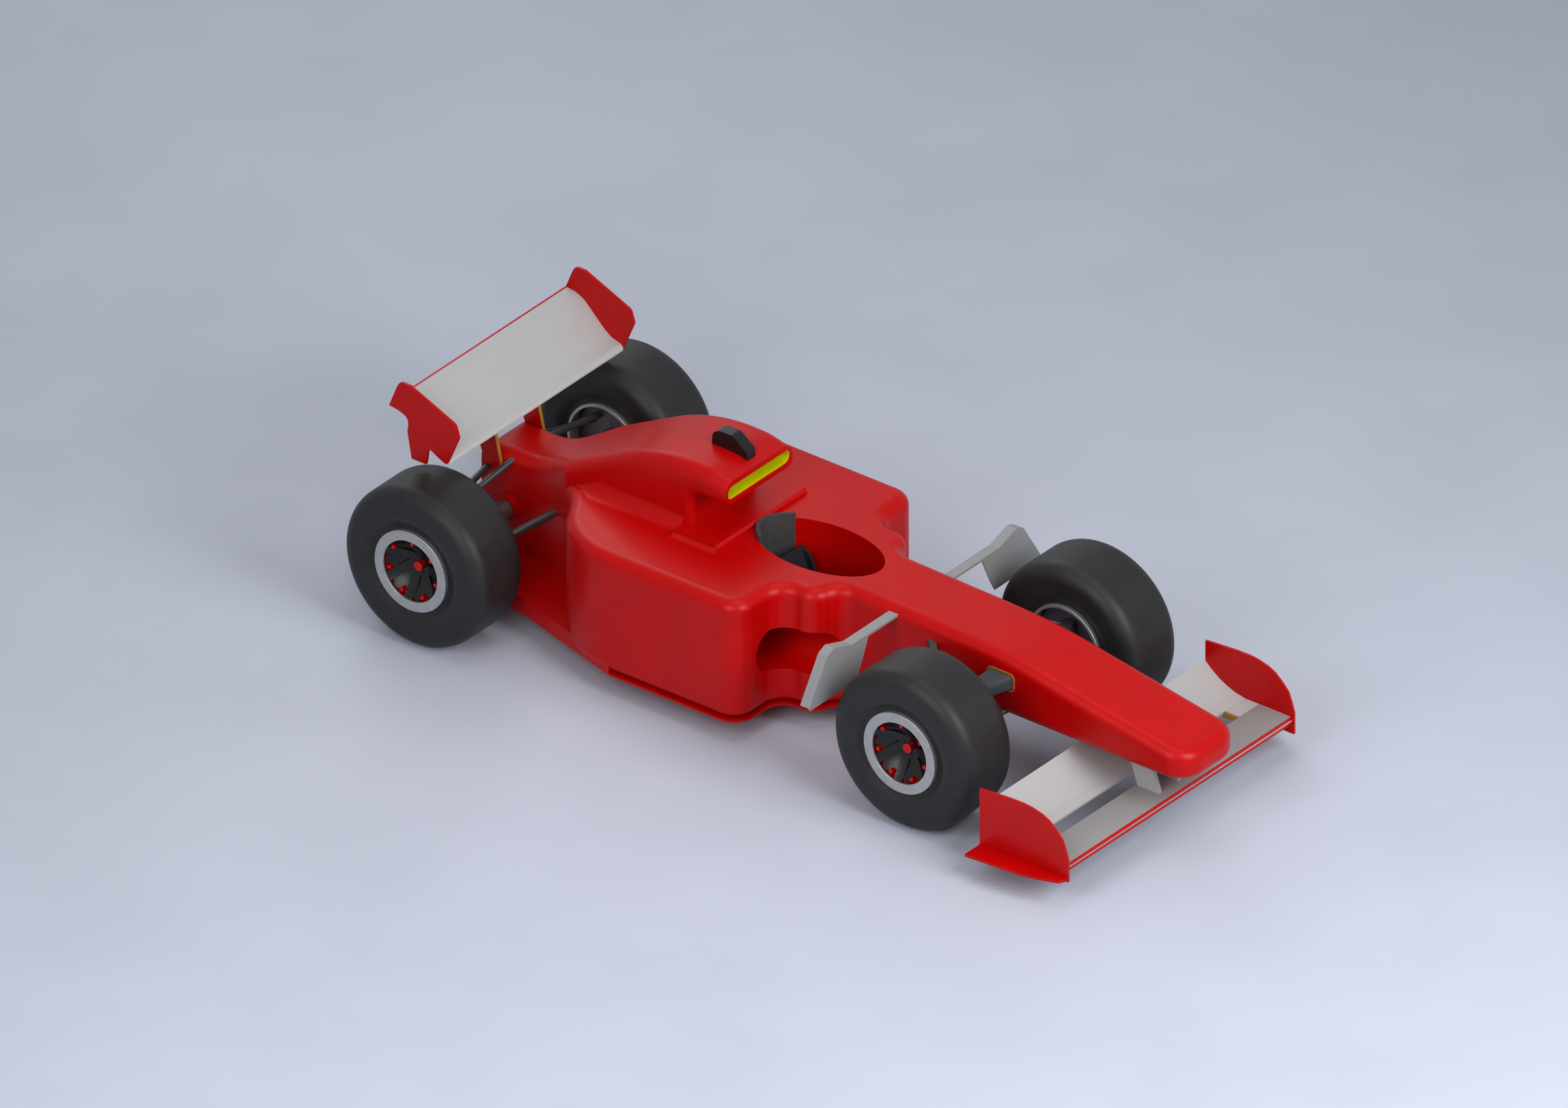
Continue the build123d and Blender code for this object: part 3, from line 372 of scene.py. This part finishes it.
class TrimSizes(bpy.types.PropertyGroup):
    """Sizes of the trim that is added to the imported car."""

    pin_radius: bpy.props.FloatProperty(
        name="Pin radius", description="Radius of a drive pin", default=0.010, min=0.004, unit="LENGTH"
    )
    pin_circle: bpy.props.FloatProperty(
        name="Pin circle", description="Radius at which the pins stand", default=0.133, unit="LENGTH"
    )
    nut_radius: bpy.props.FloatProperty(
        name="Nut radius", description="Radius of the wheel nut", default=0.0235, unit="LENGTH"
    )
    trim_width: bpy.props.FloatProperty(
        name="Trim width", description="Width of the gold edge trim", default=0.007, unit="LENGTH"
    )
    fillet_radius: bpy.props.FloatProperty(
        name="Cover fillet",
        description="Radius at the foot of the engine cover",
        default=0.075,
        unit="LENGTH",
    )


class TrimColours(bpy.types.PropertyGroup):
    """Colours of the finishes that a user would change."""

    body: bpy.props.StringProperty(name="Body", description="Hex colour of the body", default="BE0000")
    wing: bpy.props.StringProperty(name="Wing", description="Hex colour of the wings", default="B6B6B6")
    intake: bpy.props.StringProperty(name="Intake", description="Hex colour of the intake", default="D8D800")
    gold: bpy.props.StringProperty(name="Gold", description="Hex colour of the gold trim", default="D6A23C")


def darker(code, share):
    """The same hex colour made darker by a share."""
    return "".join(f"{round(int(code[n : n + 2], 16) * (1 - share)):02X}" for n in (0, 2, 4))


class CAR_OT_finishes(bpy.types.Operator):
    """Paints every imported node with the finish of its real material"""

    bl_idname = "race_car.finishes"
    bl_label = "Paint the packed car"

    def execute(self, context):
        colours = context.scene.race_car_colours
        body = gloss_paint("Body gloss paint", darker(colours.body, 0.03), colours.body)
        wing = satin_paint("Wing satin lacquer", darker(colours.wing, 0.03), colours.wing)
        vane = satin_paint("Vane satin lacquer", "8C8C8D", "949495")
        rubber = moulded_rubber("Moulded tyre rubber")
        rim = turned_aluminium("Turned rim aluminium", "AEAEAE", "B6B6B6")
        centre = cast_magnesium("Black cast magnesium")
        arms = carbon_composite("Carbon suspension tube", "343436", "3C3C3E")
        shield_front = ground_steel("Ground steel front shield", "5A5967", "66656F")
        shield_rear = ground_steel("Ground steel rear shield", "665A5C", "706466")
        intake = gloss_paint("Intake gloss paint", darker(colours.intake, 0.02), colours.intake)
        cushion = moulded_foam("Headrest foam", "3E3E3F", "454546")
        painted = {
            "tyre": rubber,
            "rim": rim,
            "wheel_centre": centre,
            "upright_front": shield_front,
            "upright_rear": shield_rear,
            "drive_shaft": shield_rear,
            "front_arms": arms,
            "rear_links": arms,
            "roof_camera": cast_magnesium("Camera housing"),
            "front_wing": wing,
            "rear_wing": wing,
            "rear_wing_struts": body,
            "vane": vane,
            "intake_liner": intake,
            "headrest": cushion,
            "seat": woven_cloth("Seat cloth", "1A1A1C", "232326"),
            "steering_wheel": moulded_foam("Steering wheel grip", "161617", "1D1D1E"),
            "steering_column": ground_steel("Steering column steel", "6A6A6C", "747476"),
            "engine_block": cast_iron("Cast iron engine"),
        }
        for name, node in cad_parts.items():
            stem = max((key for key in painted if name.startswith(key)), key=len, default=None)
            finish = painted[stem] if stem else body
            node.data.materials.clear()
            node.data.materials.append(finish)
        return {"FINISHED"}


class CAR_OT_wheel_trim(bpy.types.Operator):
    """Adds the drive pins, the wheel nut and the red liner to each wheel"""

    bl_idname = "race_car.wheel_trim"
    bl_label = "Add wheel trim"

    def execute(self, context):
        sizes = context.scene.race_car_sizes
        red = anodised("Red anodised aluminium", "C40000", "D60000")
        liner_red = gloss_paint("Red liner paint", "A80000", "B40000")
        for corner, side, station, half_track in WHEELS:
            centre = place(station, side * half_track, 0)
            centre.z = AXLE_Z
            body = "wheel_" + corner
            self.add_pins(sizes, centre, side, corner, body, red)
            self.add_nut(sizes, centre, side, corner, body, red)
            self.add_liner(centre, side, corner, body, liner_red)
        return {"FINISHED"}

    def add_pins(self, sizes, centre, side, corner, body, red):
        # One pin is turned and domed, then copied round the axle beside each spoke
        stand = centre + Vector((side * PIN_OFFSET, 0, sizes.pin_circle))
        deselect_everything()
        bpy.ops.mesh.primitive_cylinder_add(
            vertices=24,
            radius=sizes.pin_radius,
            depth=PIN_LENGTH,
            location=stand,
            rotation=(0, pi / 2, 0),
        )
        pin = new_piece("pin")
        soften(pin, 3, 4)
        turns = [axle_turn(centre, 2 * pi * n / SPOKES) for n in range(1, SPOKES)]
        pins = [pin] + [copy_piece(pin, turn) for turn in turns]
        settle(join_pieces(pins, "drive_pins_" + corner), red, body)

    def add_nut(self, sizes, centre, side, corner, body, red):
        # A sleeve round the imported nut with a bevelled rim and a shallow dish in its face
        deselect_everything()
        bpy.ops.mesh.primitive_cylinder_add(
            vertices=40,
            radius=sizes.nut_radius,
            depth=NUT_LENGTH,
            location=centre + Vector((side * NUT_OFFSET, 0, 0)),
            rotation=(0, pi / 2, 0),
        )
        nut = new_piece("wheel_nut_" + corner)
        bpy.ops.object.transform_apply(location=True, rotation=True, scale=True)
        pick(nut, "polygons", lambda face: face.normal.x * side > 0.9)
        bpy.ops.mesh.inset(thickness=NUT_WALL)
        bpy.ops.transform.translate(value=(-side * NUT_DISH, 0, 0))
        bpy.ops.object.mode_set(mode="OBJECT")
        soften(nut, 1.5, 3)
        settle(nut, red, body)

    def add_liner(self, centre, side, corner, body, red):
        # A red cone behind the dished centre, which shows through the gaps beside the lobes
        deselect_everything()
        offset, radius = LINER_RINGS[0]
        bpy.ops.mesh.primitive_circle_add(
            vertices=72,
            radius=radius,
            location=centre + Vector((side * offset, 0, 0)),
            rotation=(0, pi / 2, 0),
        )
        liner = new_piece("liner_" + corner)
        bpy.ops.object.transform_apply(location=True, rotation=True, scale=True)
        bpy.ops.object.mode_set(mode="EDIT")
        bpy.ops.mesh.select_mode(type="EDGE")
        bpy.ops.mesh.select_all(action="SELECT")
        for next_offset, next_radius in LINER_RINGS[1:]:
            shift = side * (next_offset - offset)
            share = next_radius / radius
            bpy.ops.mesh.extrude_region_move(TRANSFORM_OT_translate={"value": (shift, 0, 0)})
            bpy.ops.transform.resize(value=(1, share, share), center_override=centre)
            offset, radius = next_offset, next_radius
        bpy.ops.object.mode_set(mode="OBJECT")
        thicken(liner, LINER_WALL, -1)
        settle(liner, red, body)


class CAR_OT_cover_foot(bpy.types.Operator):
    """Adds the hollow fillets between the engine cover, its pad and the deck"""

    bl_idname = "race_car.cover_foot"
    bl_label = "Add cover fillets"

    def execute(self, context):
        paint = bpy.data.materials["Body gloss paint"]
        large = context.scene.race_car_sizes.fillet_radius
        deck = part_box("engine_cover")[0].z
        # Columns: name, half width of the wall in mm, stations with the share of the radius there
        rows = (
            ("cover_foot_", 239.0, large, ((1046, 1), (560, 1), (510, 0.6), (470, 0.2), (440, 0.04))),
            ("pad_foot_", 317.5, 0.026, ((1288, 1), (1046, 1))),
        )
        for stem, wall, radius, sections in rows:
            for name, side in SIDES:
                self.add_fillet(stem + name, side, wall, deck, radius, sections, paint)
        return {"FINISHED"}

    def add_fillet(self, name, side, wall, deck, radius, sections, paint):
        # A quarter of a circle is closed at the corner and drawn out along the wall
        centre = place(sections[0][0], side * wall, 0) + Vector((side * radius, 0, deck + radius))
        deselect_everything()
        bpy.ops.mesh.primitive_circle_add(
            vertices=64, radius=radius, location=centre, rotation=(pi / 2, 0, 0)
        )
        foot = new_piece(name)
        bpy.ops.object.transform_apply(location=True, rotation=True, scale=True)
        outer = centre.x * side + FILLET_SLACK
        upper = centre.z + FILLET_SLACK
        pick(foot, "vertices", lambda v: v.co.x * side > outer or v.co.z > upper)
        bpy.ops.mesh.delete(type="VERT")
        pick(foot, "vertices", lambda v: v.co.z < centre.z - radius + FILLET_SLACK)
        inwards = -side * (radius + FILLET_SINK)
        bpy.ops.mesh.extrude_region_move(TRANSFORM_OT_translate={"value": (0, 0, -FILLET_SINK)})
        bpy.ops.mesh.extrude_region_move(TRANSFORM_OT_translate={"value": (inwards, 0, 0)})
        bpy.ops.mesh.select_all(action="SELECT")
        bpy.ops.mesh.edge_face_add()
        corner = Vector((centre.x + inwards, centre.y, deck - FILLET_SINK))
        before = sections[0]
        for station, share in sections[1:]:
            back = (before[0] - station) * MM
            corner.y += back
            bpy.ops.mesh.extrude_region_move(TRANSFORM_OT_translate={"value": (0, back, 0)})
            size = share / before[1]
            bpy.ops.transform.resize(value=(size, 1, size), center_override=corner)
            before = (station, share)
        bpy.ops.object.mode_set(mode="OBJECT")
        settle(foot, paint, "root", 50)


class CAR_OT_gold_trim(bpy.types.Operator):
    """Adds the gold frames and edges of the struts, arms and wing slots"""

    bl_idname = "race_car.gold_trim"
    bl_label = "Add gold trim"

    def execute(self, context):
        sizes = context.scene.race_car_sizes
        shade = context.scene.race_car_colours.gold
        gold = anodised("Gold anodised aluminium", darker(shade, 0.05), shade)
        width = sizes.trim_width / MM
        for name, side in SIDES:
            self.add_frame(name, side, width, gold)
            # Columns: name, x, start as station and height, end, width, thickness, all in mm
            rows = (
                ("strut_edge_", 154, (-34, 578), (-108, 915), 14.4, width),
                ("slot_end_", 658, (3350, 186), (3439, 186), 4, 30),
            )
            for stem, x, start, end, bar_width, thickness in rows:
                ends = [place(station, side * x, z) for station, z in (start, end)]
                piece = bar(stem + name, *ends, bar_width, thickness, 1)
                settle(piece, gold, "root")
        return {"FINISHED"}

    def add_frame(self, name, side, width, gold):
        # A rounded frame round the foot of the front arm on the nose
        deselect_everything()
        bpy.ops.mesh.primitive_plane_add(
            size=1, location=place(2784, side * 202.5, 561), rotation=(0, side * pi / 2, 0)
        )
        rim = new_piece("arm_frame_" + name)
        rim.scale = (*FRAME_SIZE, 1)
        bpy.ops.object.transform_apply(location=True, rotation=True, scale=True)
        bpy.ops.object.mode_set(mode="EDIT")
        bpy.ops.mesh.select_all(action="SELECT")
        bpy.ops.mesh.bevel(offset=FRAME_CORNER, segments=6, affect="VERTICES")
        bpy.ops.mesh.select_all(action="SELECT")
        bpy.ops.mesh.inset(thickness=width * MM)
        bpy.ops.mesh.delete(type="FACE")
        bpy.ops.object.mode_set(mode="OBJECT")
        thicken(rim, FRAME_WALL, 0)
        settle(rim, gold, "root")


class CAR_OT_wing_strips(bpy.types.Operator):
    """Adds the red strips on the wings' edges, a pale strip of painted highlight on the rear wing's lip and
    a darker grey skin of painted shade on the front wing's main plane
    """

    bl_idname = "race_car.wing_strips"
    bl_label = "Add wing strips"

    def execute(self, context):
        colours = context.scene.race_car_colours
        red = gloss_paint("Strip gloss paint", darker(colours.body, 0.03), colours.body)
        # Painted highlight: a paler copy of the wing grey for the strip on the rear wing's lip
        pale = satin_paint("Lip satin lacquer", "C8C8C8", "D0D0D0")
        # Painted shade: a darker copy of the wing grey for the top of the front wing's main plane
        grey = satin_paint("Main plane satin lacquer", "8E8E8E", "949494")
        # Columns: name, station, height, width, depth, thickness in mm, finish, slot
        rows = (
            ("front_wing_strip", 3621, 185, 1600, 38, 6, red, "body_paint"),
            ("rear_wing_tail_strip", -283, 1047, 1234, 8, 10, red, "body_paint"),
            # The pale lip strip is painted highlight along the rear wing's lip
            ("rear_wing_lip_strip", 33, 848, 1234, 18, 5, pale, "wing_paint"),
        )
        for name, station, z, width, depth, thickness, finish, slot in rows:
            middle = place(station, 0, z)
            down = Vector((0, 0, depth * MM / 2))
            strip = bar(name, middle - down, middle + down, width, thickness, 1.5)
            settle(strip, finish, "root")
        # Painted shade: a skin of darker grey than the flap lies on the main plane's flat top between the
        # slot and the red strip
        skin = bar("main_plane_skin", place(3442, 0, 204), place(3616, 0, 204), 1590, 2, 0.6)
        settle(skin, grey, "root")
        return {"FINISHED"}


class CAR_OT_stage(bpy.types.Operator):
    """Sets the floor, the soft studio lamps, the world and the camera"""

    bl_idname = "race_car.stage"
    bl_label = "Set the studio"

    def execute(self, context):
        self.add_floor()
        self.add_world(context.scene)
        # Columns: name, azimuth, elevation, distance in m, size in m, power in W
        lamps = (
            ("front_lamp", -8, 34, 9.5, 5.5, 520),
            ("side_lamp", -80, 34, 9.0, 5.5, 270),
            ("top_lamp", 20, 85, 9.0, 6.0, 110),
            ("back_lamp", 150, 38, 9.0, 5.0, 110),
        )
        for name, azimuth, elevation, distance, size, power in lamps:
            self.add_lamp(name, azimuth, elevation, distance, size, power)
        self.add_camera(context.scene)
        context.scene.view_settings.view_transform = "Standard"
        return {"FINISHED"}

    def add_floor(self):
        deselect_everything()
        bpy.ops.mesh.primitive_plane_add(size=FLOOR_SIZE, location=(0, 0, 0))
        floor = new_piece("studio_floor")
        # Matt floor paint: pale blue grey with broad, hardly visible patches
        finish, tree, shader, where = start_finish("Painted studio floor", 0.6, specular=0.2)
        speckle(tree, shader, where, "C2C7D6", "C6CBDA", 900)
        floor.data.materials.append(finish)

    def add_world(self, scene):
        world = bpy.data.worlds.new("Studio")
        scene.world = world
        world.use_nodes = True
        tree = world.node_tree
        tree.nodes.clear()
        path = add_node(tree, "ShaderNodeLightPath")
        reflected = add_node(
            tree,
            "ShaderNodeMath",
            {"operation": "MAXIMUM"},
            {0: path.outputs["Is Glossy Ray"], 1: path.outputs["Is Transmission Ray"]},
        )
        seen = add_node(
            tree,
            "ShaderNodeMath",
            {"operation": "MAXIMUM"},
            {0: path.outputs["Is Camera Ray"], 1: reflected.outputs["Value"]},
        )
        strength = add_node(
            tree,
            "ShaderNodeMapRange",
            {"To Min": WORLD_LIGHT, "To Max": WORLD_SEEN},
            {"Value": seen.outputs["Value"]},
        )
        sky = add_node(
            tree,
            "ShaderNodeBackground",
            {"Color": linear("F2F4F8")},
            {"Strength": strength.outputs["Result"]},
        )
        add_node(tree, "ShaderNodeOutputWorld", links={"Surface": sky.outputs["Background"]})

    def add_lamp(self, name, azimuth, elevation, distance, size, power):
        lamp = bpy.data.lights.new(name, "AREA")
        lamp.shape = "DISK"
        lamp.size = size
        lamp.energy = power
        holder = bpy.data.objects.new(name, lamp)
        bpy.context.scene.collection.objects.link(holder)
        aim = Vector(LAMP_AIM)
        holder.location = aim + self.direction(azimuth, elevation) * distance
        holder.rotation_euler = (aim - holder.location).to_track_quat("-Z", "Y").to_euler()

    def direction(self, azimuth, elevation):
        a = radians(azimuth)
        e = radians(elevation)
        return Vector((sin(a) * cos(e), -cos(a) * cos(e), sin(e)))

    def add_camera(self, scene):
        back = self.direction(VIEW_AZIMUTH, VIEW_ELEVATION)
        lens = bpy.data.cameras.new("camera")
        lens.type = "ORTHO"
        lens.ortho_scale = VIEW_WIDTH
        lens.clip_end = 200
        camera = bpy.data.objects.new("camera", lens)
        scene.collection.objects.link(camera)
        camera.location = place(*VIEW_AIM) + back * VIEW_DISTANCE
        camera.rotation_mode = "QUATERNION"
        camera.rotation_quaternion = (-back).to_track_quat("-Z", "Y")
        scene.camera = camera


class CAR_PT_panel(bpy.types.Panel):
    """Lists the steps that dress the car"""

    bl_idname = "CAR_PT_panel"
    bl_label = "Race Car"
    bl_space_type = "VIEW_3D"
    bl_region_type = "UI"
    bl_category = "Race Car"

    def draw(self, context):
        for group in (context.scene.race_car_sizes, context.scene.race_car_colours):
            for name in group.__annotations__:
                self.layout.prop(group, name)
        for step in STEPS:
            self.layout.operator(step.bl_idname)


STEPS = (
    CAR_OT_finishes,
    CAR_OT_wheel_trim,
    CAR_OT_cover_foot,
    CAR_OT_gold_trim,
    CAR_OT_wing_strips,
    CAR_OT_stage,
)
CLASSES = (TrimSizes, TrimColours) + STEPS + (CAR_PT_panel,)


def register():
    for cls in CLASSES:
        bpy.utils.register_class(cls)
    bpy.types.Scene.race_car_sizes = bpy.props.PointerProperty(type=TrimSizes)
    bpy.types.Scene.race_car_colours = bpy.props.PointerProperty(type=TrimColours)


def unregister():
    del bpy.types.Scene.race_car_colours
    del bpy.types.Scene.race_car_sizes
    for cls in reversed(CLASSES):
        bpy.utils.unregister_class(cls)


def main():
    register()
    bpy.ops.race_car.finishes()
    bpy.ops.race_car.wheel_trim()
    bpy.ops.race_car.cover_foot()
    bpy.ops.race_car.gold_trim()
    bpy.ops.race_car.wing_strips()
    bpy.ops.race_car.stage()


if __name__ == "__main__":
    main()
